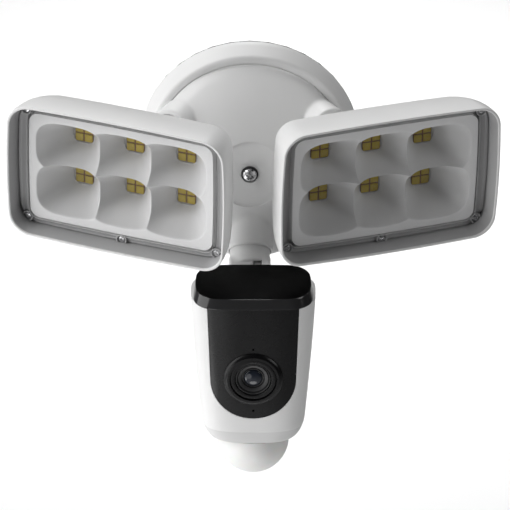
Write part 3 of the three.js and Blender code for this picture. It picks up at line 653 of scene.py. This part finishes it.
def lamp_arm_field(bend):
    def field(x, y, z):
        off = np.hypot(x, z)
        spindle = smooth_max(smooth_max(off - ARM_RADIUS, -3.5 - y, 1.6), y - 9.5, 0.5)
        neck = np.maximum(off - NECK_RADIUS, np.maximum(-18 - y, y + 2))
        u, v = turn_back(x, y + ARM_REACH, bend)
        drum = np.hypot(v, z) - LUG_RADIUS
        web = np.maximum(np.maximum(np.abs(z) - 0.9 * LUG_RADIUS, -v), v - 12)
        knuckle = smooth_max(np.minimum(drum, web), np.abs(u) - FORK_HALF, 1.6)
        gap = smooth_min(np.hypot(v, z) - LUG_RADIUS - 0.8, v, 0.5)
        slot = smooth_max(gap, np.abs(u) - FORK_SLOT_HALF, 0.5)
        whole = smooth_min(smooth_min(spindle, neck, 1.2), knuckle, 3.0)
        whole = smooth_max(whole, -slot, 0.6)
        return smooth_max(whole, BOLT_HOLE - np.hypot(v, z), 0.3)
    return field


def build_lamp_arm(side, label):
    at = arm_place(side, label)
    bend = side * (LAMP_YAW - POD_TURN)
    draft = blended(lamp_arm_field(bend), (-14, -36, -10), (14, 11, 10), FINE_CELL)
    place(draft, f"{label}_arm", f"{label}_arm", WHITE, [f"{label}_lamp_arm"], at, 50)


def hinge_hardware(half, prefix, body, at):
    bolt = turned(rounded([
        (0, -half - 2.8), (2.4, -half - 2.8, 0.4), (2.4, half + 0.3), (4.3, half + 0.3, 0.2),
        (4.3, half + 2.4, 0.7), (0, half + 2.4),
    ]), 48)
    socket = super_oval(1, 1, 2, 6) * 1.6
    cut(bolt, slab(socket, half + 1.1, half + 4))
    nut = slab(super_oval(1, 1, 2, 6) * 4.4, -half - 2.6, -half - 0.3)
    cut(nut, rod(2.5, -half - 4, -half, sides=32))
    across = at @ turn("Z", -90)
    place(soften(bolt, 0.1), f"{prefix}_bolt", body, STEEL, [f"{prefix}_hinge_bolt"], across)
    place(soften(nut, 0.25), f"{prefix}_nut", body, STEEL, [f"{prefix}_hinge_nut"], across)


# ---------------------------------------------------------------- lamp heads


LAMP_OUTLINE = bowed((LAMP_HALF[0] - LAMP_EASE, LAMP_HALF[1] - LAMP_EASE), LAMP_CORNER, LAMP_BOW)
WINDOW_OUTLINE = bowed(WINDOW_HALF, WINDOW_CORNER, 0.5)


def drawn_in(outline, inset):
    return outline * (1 - inset / np.array(LAMP_HALF))


def lamp_inset(depth):
    along = max(0.0, 1 - (LAMP_DEPTH - depth) / LAMP_BACK_ROUND)
    return LAMP_CURVE * depth * depth + LAMP_BACK_ROUND * (1 - math.sqrt(max(0.0, 1 - along * along)))


def lug_field(x, y, z):
    u, v = x + LAMP_SHIFT_X, y - HINGE_BEHIND_RIM
    drum = np.hypot(v, z) - LUG_RADIUS
    web = np.maximum(np.abs(z) - LUG_RADIUS, v)
    lug = smooth_max(np.minimum(drum, web), np.abs(u) - LUG_HALF, 0.8)
    disc = smooth_max(np.hypot(u, z) - 12, y - LAMP_DEPTH - 2.2, 1.2)
    whole = smooth_min(lug, disc, 2.5)
    whole = np.maximum(whole, LAMP_DEPTH - 1.2 - y)
    return smooth_max(whole, BOLT_HOLE - np.hypot(v, z), 0.3)


def in_hood(center, normal):
    """Whether a face of the lamp's body is on the inside of its hood."""
    toward_middle = normal.x * center.x + normal.z * center.z < 0
    return 0.9 < center.y < LAMP_DEPTH - 2 and toward_middle


def build_lamp_shell(label, at, body):
    depths = [LAMP_DEPTH - LAMP_BACK_ROUND * (1 - math.cos(a)) for a in np.linspace(0, math.pi / 2, 12)]
    depths += list(np.linspace(LAMP_DEPTH - LAMP_BACK_ROUND, 0.5, 28))[1:]
    rings = [at_depth(drawn_in(LAMP_OUTLINE, lamp_inset(d)), d) for d in depths]
    rim = rounded([(0.0, 1.0), (0.0, 0.0, 0.4), (RIM_WALL, 0.0, 0.4), (RIM_WALL + 0.1, 1.0)], 3)
    rings += [at_depth(drawn_in(LAMP_OUTLINE, inset), y) for inset, y in rim]
    hood = [(RIM_WALL + 0.1 * y, y) for y in np.linspace(1.5, LEDGE, 8)]
    inner = hood + [(5.2, LEDGE + 0.01), (5.4, 20), (lamp_inset(30) + 3, 30)]
    inner += [(lamp_inset(35) + 4, LAMP_DEPTH - 2.4)]
    rings += [at_depth(drawn_in(LAMP_OUTLINE, inset), y) for inset, y in inner]
    shell = loft(rings)
    low = (-18, LAMP_DEPTH - 3, -14)
    join(shell, blended(lug_field, low, (14, HINGE_BEHIND_RIM + 9, 14), FINE_CELL))
    inner = (WHITE_SHADED, in_hood)
    place(shell, f"{label}_lamp_body", body, WHITE, [f"{label}_lamp_shell"], at, 38, inner)


def between(share, y):
    """A ring of the lens frame, a share of the way from its outer edge to the window."""
    outer = drawn_in(LAMP_OUTLINE, FRAME_INSET)
    inner = WINDOW_OUTLINE * (1 + 0.3 / np.array(WINDOW_HALF))
    return at_depth(outer * (1 - share) + inner * share, y)


def build_lens_frame(label, at, body):
    f = FRAME_FRONT
    section = rounded([
        (0.0, f + 2), (0.0, f, 0.2), (0.30, f, 0.2), (0.34, f + 0.2, 0.1), (0.42, f + 0.2, 0.1),
        (0.46, f, 0.2), (0.78, f, 0.2), (0.84, f - 0.4, 0.2), (1.0, f - 0.4, 0.2), (1.0, f + 2),
    ], 2)
    draft = loft([between(s, y) for s, y in section], closed=True)
    for x, z in FRAME_SCREWS:
        boss = turned(rounded([
            (0, f + 1.9), (3.3, f + 1.9), (3.3, f - 1.6, 0.4), (2.5, f - 1.6, 0.3),
            (2.2, f - 0.2, 0.1), (0, f - 0.2),
        ]), 40)
        boss.data.transform(shift(x, 0, z))
        join(draft, boss)
    keep_in(draft, slab(drawn_in(LAMP_OUTLINE, FRAME_INSET - 0.05), 0, f + 2))
    place(draft, f"{label}_frame", body, WHITE_SHADED, [f"{label}_lens_frame"], at, 30)
    for index, (x, z) in enumerate(FRAME_SCREWS):
        name = f"{label}_frame_screw_{index + 1}"
        head = turned(rounded([
            (0, f + 1), (0.9, f + 1), (0.9, f - 0.3), (1.9, f - 0.3, 0.15), (1.9, f - 1.0, 0.5), (0, f - 1.3),
        ]), 32)
        for angle in (0, 90):
            arm = make_box((-1.1, f - 2, -0.25), (1.1, f - 0.8, 0.25))
            arm.data.transform(turn("Y", angle + 25 * index))
            cut(head, arm)
        head.data.transform(shift(x, 0, z))
        place(head, f"{name}_head", body, STEEL, [name], at)


def build_window(label, at, body):
    front, flange, back = WINDOW_FRONT, 13.3, 14.5
    outer = drawn_in(LAMP_OUTLINE, FRAME_INSET)

    def tray(grow, y):
        return at_depth(WINDOW_OUTLINE * (1 + grow / np.array(WINDOW_HALF)), y)

    brow = rounded([(-4, front), (0, front, 1.2), (0, front + 1.5), (0, flange)], 5)
    rings = [tray(grow, y) for grow, y in brow]
    rings += [at_depth(outer, flange), at_depth(outer, back), tray(-1, back)]
    inside = rounded([(-1, back), (-1, front + 1, 0.8), (-4, front + 1)], 4)
    rings += [tray(grow, y) for grow, y in inside[1:]]
    draft = loft(rings)
    # The cover's walls and flange get the light edge finish, as painted light over the shadowed gap around
    # the reflector.
    edge = (FROSTED_PAINTED_LIGHT, lambda center, normal: center.y > front + 1.4)
    place(draft, f"{label}_cover", body, CLEAR, [f"{label}_window"], at, 40, edge)


def cup_share(x, z):
    """How far down a cup's wall is above each point: 0 at its mouth and 1 at its LED. Found by
    halving, between well outside the mouth and a little before the cup would close to a point."""
    low = np.full(np.broadcast(x, z).shape, -1.5)
    high = np.full(low.shape, 1.4)
    for _ in range(24):
        t = (low + high) / 2
        half_x = CUP_MOUTH[0] + (CUP_FOOT[0] - CUP_MOUTH[0]) * t
        half_z = CUP_MOUTH[1] + (CUP_FOOT[1] - CUP_MOUTH[1]) * t
        within = (np.abs(x) / half_x) ** CUP_POWER + (np.abs(z) / half_z) ** CUP_POWER < 1
        low = np.where(within, t, low)
        high = np.where(within, high, t)
    return (low + high) / 2


def build_reflector(label, at, body):
    xs = np.linspace(-WINDOW_HALF[0], WINDOW_HALF[0], 241)
    zs = np.linspace(-WINDOW_HALF[1], WINDOW_HALF[1], 151)
    x, z = np.meshgrid(xs, zs, indexing="ij")
    depth = np.zeros(x.shape)
    foot = np.full(x.shape, -9.0)
    for column in (-1, 0, 1):
        for row in (-0.5, 0.5):
            share = cup_share(x - column * CUP_PITCH[0], z - row * CUP_PITCH[1])
            depth = smooth_max(depth, share * (REFLECTOR_BACK - REFLECTOR_FRONT), 0.5)
            foot = np.maximum(foot, share)
    depth = np.minimum(depth, REFLECTOR_BACK - REFLECTOR_FRONT)
    y = REFLECTOR_FRONT + depth
    front = np.column_stack([x.ravel(), y.ravel(), z.ravel()])
    back = front + [0, 1.2, 0]
    count = len(front)
    rows = len(zs)
    faces = []
    edges = {}
    for i in range(len(xs) - 1):
        for j in range(rows - 1):
            if foot[i:i + 2, j:j + 2].min() >= 1:
                continue
            a, b = i * rows + j, (i + 1) * rows + j
            quad = (a, b, b + 1, a + 1)
            faces.append(quad)
            faces.append(tuple(v + count for v in reversed(quad)))
            for p, q in zip(quad, quad[1:] + quad[:1]):
                if (q, p) in edges:
                    del edges[(q, p)]
                else:
                    edges[(p, q)] = True
    faces += [(q, p, p + count, q + count) for p, q in edges]
    used = sorted({v for face in faces for v in face})
    number = {v: n for n, v in enumerate(used)}
    points = np.concatenate([front, back])[used]
    draft = make_object(points, [tuple(number[v] for v in face) for face in faces])
    keep_in(draft, slab(WINDOW_OUTLINE * (1 - 1.35 / np.array(WINDOW_HALF)), 0, 40))
    # Faces that don't look straight out get the darker reflector white, as painted shade on the cups' walls.
    painted_shade_walls = (REFLECTOR_PAINTED_SHADE, lambda center, normal: normal.y > -0.9)
    place(draft, f"{label}_cups", body, REFLECTOR, [f"{label}_reflector"], at, 60, painted_shade_walls)


def build_leds(label, at, body):
    board = make_box((-40, BOARD_FRONT, -20.5), (40, BOARD_FRONT + 1.6, 20.5), 0.2)
    place(board, f"{label}_board", body, BOARD_WHITE, [f"{label}_led_board"], at)
    for column in (-1, 0, 1):
        for row in (0, 1):
            x, z = column * CUP_PITCH[0], (row - 0.5) * CUP_PITCH[1]
            name = f"{label}_led_{column + 2}_{row + 1}"
            h = LED_HALF
            base = make_box((x - h, LED_FACE + 0.35, z - h), (x + h, BOARD_FRONT, z + h), 0.15)
            place(base, f"{name}_base", body, LED_FRAME, (), at)
            for i in (-1, 1):
                for k in (-1, 1):
                    cx, cz, t = x + i * h / 2, z + k * h / 2, h / 2 - 0.45
                    tile = make_box((cx - t, LED_FACE - 0.3, cz - t), (cx + t, LED_FACE + 0.6, cz + t), 0.3)
                    side = f"{'l' if i < 0 else 'r'}{'b' if k < 0 else 't'}"
                    place(tile, f"{name}_{side}", body, PHOSPHOR, (), at)


def build_lamp(side, label):
    at = lamp_place(side, label)
    body = f"{label}_lamp"
    build_lamp_shell(label, at, body)
    build_lens_frame(label, at, body)
    build_window(label, at, body)
    build_reflector(label, at, body)
    build_leds(label, at, body)


# ---------------------------------------------------------------- camera unit


def camera_half_x(z):
    """Half-width: a slow taper, then round lower corners."""
    down = np.maximum((SHELL_TOP - z) / (SHELL_TOP - SHELL_BOTTOM), 0)
    along = np.clip((CHIN_ROUND_FROM - z) / (CHIN_ROUND_FROM - SHELL_BOTTOM), 0, 1)
    return 35 - 6.6 * down ** 1.25 - 5.2 * (1 - np.sqrt(1 - along ** 2))


def camera_half_y(z):
    """Half-depth: straight down to the chin's crease, a small step inwards, then a slight slope."""
    along = np.clip((CHIN_CREASE - z) / (CHIN_CREASE - SHELL_BOTTOM), 0, 1)
    return CAMERA_HALF_Y - CHIN_STEP * (along > 0) - CHIN_STEP * along


def camera_loft(z0, z1, inset=0.0, steps=48, count=144):
    oval = super_oval(1, 1, CAMERA_POWER, count)
    rings = []
    heights = z0 + (z1 - z0) * np.linspace(0, 1, steps) ** 1.6
    crease = [CHIN_CREASE - 0.1, CHIN_CREASE + 0.1] if z0 < CHIN_CREASE < z1 else []
    for z in sorted([*heights[np.abs(heights - CHIN_CREASE) > 0.4], *crease]):
        x = CAMERA_X + oval[:, 0] * (camera_half_x(z) - inset)
        y = CAMERA_Y + oval[:, 1] * (camera_half_y(z) - inset)
        rings.append(np.column_stack([x, y, np.full(count, z)]))
    return loft(rings)


def panel_outline(grow):
    """The front panel's outline: straight sides that narrow a little, and a round lower end."""
    radius = PANEL_RADIUS + grow
    top_half = PANEL_TOP_HALF + grow
    middle = LENS_Z - PANEL_DROP
    angles = np.linspace(0, -math.pi, 49)
    points = [(CAMERA_X + top_half, SHELL_TOP + 12)]
    points += [(CAMERA_X + radius * math.cos(a), middle + radius * math.sin(a)) for a in angles]
    points.append((CAMERA_X - top_half, SHELL_TOP + 12))
    return np.array(points)


def above_seam(lift):
    """Everything above the seam between the visor and the body."""
    return make_box((-50, -130, SHELL_TOP + lift), (50, -70, 0))


def build_camera_shell():
    shell = camera_loft(SHELL_BOTTOM, VISOR_TOP + 1)
    cut(shell, camera_loft(-130, VISOR_TOP + 2, CAMERA_WALL, 24))
    cut(shell, slab(panel_outline(0.2), -140, CAMERA_Y - 6))
    hole = rod(18.1, -140, -120, edge=0, sides=72)
    hole.data.transform(shift(CAMERA_X, CAMERA_Y, 0) @ turn("X", 90))
    cut(shell, hole, above_seam(0))
    hinge = camera_arm_place() @ Vector((0, -CAMERA_ARM_REACH, 0))

    def lug_field(x, y, z):
        off = np.hypot(y - hinge.y, z - hinge.z)
        web = np.maximum(np.maximum(y - hinge.y, z - hinge.z - 5.5), hinge.z - 8.6 - z)
        lug = smooth_max(np.minimum(off - 8.6, web), np.abs(x - 4.3) - 2.2, 0.6)
        lug = np.maximum(lug, CAMERA_Y + CAMERA_HALF_Y - 1.2 - y)
        return smooth_max(lug, BOLT_HOLE - off, 0.3)

    low = (1, CAMERA_Y + CAMERA_HALF_Y - 3, hinge.z - 10)
    join(shell, blended(lug_field, low, (8, hinge.y + 10, hinge.z + 10), 0.4))
    soften(shell, 0.2, 50)
    # The band below the chin crease gets the darker white, as painted shade on a surface that faces down.
    rim = (WHITE_PAINTED_SHADE, lambda center, normal: center.z < CHIN_CREASE)
    place(shell, "camera_body", "camera", WHITE, ["camera_shell"], None, 35, rim)


def build_front_panel():
    skin = cut(camera_loft(-128, SHELL_TOP + 6, 0.0, 40), camera_loft(-129, SHELL_TOP + 7, CAMERA_WALL, 30))
    keep_in(skin, slab(panel_outline(0), -140, CAMERA_Y - 6))
    boss = turned(rounded([
        (0, 1), (16.8, 1.0), (16.6, -0.4, 0.2), (15.8, -1.1, 0.5), (14.7, -1.8, 0.5), (0, -1.8),
    ], 5), 128)
    boss.data.transform(shift(CAMERA_X, CAMERA_FRONT, LENS_Z))
    join(skin, boss)
    bore = rod(13.2, CAMERA_FRONT - 8, CAMERA_FRONT + 12, CAMERA_X, LENS_Z, 0, 128)
    pins = [rod(0.7, CAMERA_FRONT - 8, CAMERA_FRONT + 6, CAMERA_X, LENS_Z + z, 0, 24) for z in PIN_HOLES]
    cut(skin, bore, *pins, above_seam(-0.3))
    soften(skin, 0.25, 50)
    place(skin, "camera_front", "camera", BLACK_SATIN, ["front_panel"], None, 35)


def build_visor():
    """A flat cap with a dull, near-black top as painted shade and a glossy edge, lifted to a dark grey as a
    painted reflection, that flares outwards at the front and front corners.
    """
    outline = bowed(VISOR_HALF, 13.5, 0.4)
    depth = VISOR_TOP - SHELL_TOP - 0.3
    frontness = np.clip(-outline[:, 1] / VISOR_HALF[1], 0, 1)
    sideways = VISOR_FLARE[0] * (0.25 + 0.75 * frontness)
    flare = np.column_stack([sideways, np.full(len(outline), VISOR_FLARE[1])])
    rings = []
    for down in np.linspace(0, 1, 9):
        x, y = (outline * (1 + flare / VISOR_HALF * down)).T
        rings.append(np.column_stack([CAMERA_X + x, VISOR_Y + y, np.full(len(x), VISOR_TOP - depth * down)]))
    cap = soften(loft(rings), 0.22, 40)
    # The top faces get the near-black, barely reflecting finish as painted shade; the rest keeps the edge's
    # painted reflection.
    dull = (BLACK_PAINTED_SHADE, lambda center, normal: normal.z > 0.97)
    place(cap, "camera_visor", "camera", VISOR_EDGE_PAINTED_REFLECTION, ["visor"], None, 25, dull)


def build_lens():
    at = shift(CAMERA_X, CAMERA_FRONT + 1.4, LENS_Z)
    ring = turned(rounded([
        (10.25, 0), (12.85, 0, 0.2), (12.85, -2.2, 0.3), (10.25, -2.2, 0.3), (10.25, -0.1),
    ]), 128, closed=True)
    place(ring, "lens_surround", "camera", BLACK_SATIN, ["lens_ring"], at)
    barrel = turned(rounded([
        (0, 12), (8, 12), (8, 4), (9.9, 4), (9.9, -1.5, 0.25), (9.3, -1.8, 0.2), (8.95, 0.2),
        (8.7, 0.2), (8.5, -0.9, 0.15), (7.4, -0.6), (6.6, -0.2, 0.1), (6.4, 0.9),
        (5.95, 0.9), (5.8, 0.1, 0.05), (5.4, 0.3), (5.3, 1.6), (0, 1.6),
    ]), 128)
    place(barrel, "lens_tube", "camera", BLACK_MATTE, ["lens_barrel"], at)
    dome = [(5.1 * math.sin(a), 0.4 - 1.5 * math.cos(a)) for a in np.linspace(math.pi / 2, 0, 14)]
    glass = turned([(0, 1.2), (5.1, 1.2)] + dome, 96)
    place(glass, "lens_front", "camera", LENS_GLASS, ["lens_glass"], at)


def build_sensor():
    skirt = rounded([
        (0, -129), (17.8, -129, 0.3), (17.8, SHELL_BOTTOM - 0.2), (18.9, SHELL_BOTTOM - 0.4, 0.3),
    ], 3)
    start = math.acos((SHELL_BOTTOM - 0.6 - SENSOR_Z) / SENSOR_RADIUS)
    ball = [
        (SENSOR_RADIUS * math.sin(a), SENSOR_Z + SENSOR_RADIUS * math.cos(a))
        for a in np.linspace(start, math.pi, 48)
    ]
    dome = turned(skirt + ball, 128)
    dome.data.transform(shift(CAMERA_X, CAMERA_Y, 0) @ turn("X", 90))
    place(dome, "sensor_cover", "camera", SENSOR_WHITE, ["sensor_dome"], None, 30)


def camera_arm_field(x, y, z):
    off = np.hypot(x, z)
    spindle = smooth_max(smooth_max(off - CAMERA_ARM_RADIUS, -9 - y, 1.0), y - 9.5, 0.5)
    v = y + CAMERA_ARM_REACH
    drum = smooth_max(np.hypot(v, z) - CAMERA_DRUM_RADIUS, np.abs(x) - CAMERA_ARM_RADIUS, 1.6)
    gap = smooth_min(np.hypot(v, z) - CAMERA_DRUM_RADIUS - 0.7, v, 0.5)
    slot = smooth_max(gap, np.abs(x - 4.3) - 2.5, 0.5)
    whole = smooth_max(smooth_min(spindle, drum, 2.0), -slot, 0.6)
    return smooth_max(whole, BOLT_HOLE - np.hypot(v, z), 0.3)


def build_camera():
    at = camera_arm_place()
    draft = blended(camera_arm_field, (-13, -28, -13), (13, 11, 13), FINE_CELL)
    place(draft, "camera_knuckle", "camera_arm", WHITE, ["camera_arm"], at, 50)
    hinge_hardware(CAMERA_ARM_RADIUS, "camera", "camera_arm", at @ shift(0, -CAMERA_ARM_REACH, 0))
    build_camera_shell()
    build_front_panel()
    build_visor()
    build_lens()
    build_sensor()


# ---------------------------------------------------------------- build

build_base()
for lamp_side, lamp_label in ((-1, "left"), (1, "right")):
    build_lamp_arm(lamp_side, lamp_label)
    hinge_hardware(FORK_HALF, lamp_label, f"{lamp_label}_arm", hinge_place(lamp_side, lamp_label))
    build_lamp(lamp_side, lamp_label)
build_camera()

# The hidden pieces keep the CAD's shapes and only get finishes.
KEPT_FINISHES = {
    "wall_gasket": RUBBER, "cable_gland": RUBBER, "mounting_bracket": STEEL, "rear_cover": BLACK_MATTE,
    "driver_board": BOARD_GREEN, "driver_transformer": WINDING, "driver_capacitor": BLACK_SATIN,
    "motion_sensor": STEEL, "camera_board": BOARD_GREEN, "image_sensor": BLACK_SATIN, "speaker": BLACK_MATTE,
    **{f"cover_screw_{i}": STEEL for i in range(1, 5)},
}
for node_name, finish in KEPT_FINISHES.items():
    kept = nodes[node_name]
    kept.data.materials.clear()
    kept.data.materials.append(finish)

# ---------------------------------------------------------------- studio and camera


def area_light(name, place_at, aim, size, power):
    """A round soft light of a power in watts, turned to face a point."""
    light = bpy.data.lights.new(name, "AREA")
    light.shape = "DISK"
    light.size = size
    light.energy = power
    obj = bpy.data.objects.new(name, light)
    obj.location = place_at
    obj.rotation_euler = (Vector(aim) - Vector(place_at)).to_track_quat("-Z", "Y").to_euler()
    scene.collection.objects.link(obj)


AIM = (0, 0, -0.03)
LIGHTS = {
    "left_wall": ((-2.0, -0.5, 0.2), 2.4, 33.5),
    "left_high": ((-1.5, -0.6, 1.4), 1.2, 16.3),
    "left_back": ((-1.2, 0.6, 1.7), 1.2, 7.6),
    "back_high": ((0.0, 1.2, 1.6), 1.2, 18.2),
    "overhead": ((0.0, -0.2, 2.0), 1.0, 0.81),
    "right": ((1.8, -0.8, 0.8), 1.2, 8.4),
    "front_low": ((-0.9, -2.0, -0.8), 1.4, 7.0),
    "under": ((0.0, -0.32, -0.38), 0.16, 0.18),
    "under_left": ((-0.25, -0.32, -0.3), 0.16, 0.2),
}


def studio():
    bpy.ops.mesh.primitive_plane_add(size=60, location=(0, 0, -1.2))
    floor = bpy.context.object
    floor.name = "floor"
    material, tree, shader, where = new_material("floor")
    base = tint(tree, noise(tree, where, 0.6, 2.0), (0.93, 0.93, 0.93), (0.95, 0.95, 0.95))
    tree.links.new(base, shader.inputs["Base Color"])
    shader.inputs["Roughness"].default_value = 0.9
    floor.data.materials.append(material)

    world = bpy.data.worlds.new("studio")
    scene.world = world
    world.use_nodes = True
    world.node_tree.nodes["Background"].inputs["Strength"].default_value = 0.0
    for name, (place_at, size, power) in LIGHTS.items():
        area_light(name, place_at, AIM, size, power)
    area_light("backdrop", (0, 2.2, -0.2), (0, 2.2, -1.2), 1.2, 14.3)


def photo_camera():
    camera = bpy.data.objects.new("camera", bpy.data.cameras.new("camera"))
    scene.collection.objects.link(camera)
    camera.data.sensor_width = 36
    camera.data.lens = 348.94
    camera.data.clip_start = 0.1
    camera.data.clip_end = 100
    camera.location = (0.003153, -2.506148, 1.328313)
    aim = Vector((0.00298, 0, -0.07745))
    camera.rotation_euler = (aim - camera.location).to_track_quat("-Z", "Y").to_euler()
    scene.camera = camera


studio()
photo_camera()
scene.view_settings.view_transform = "Standard"
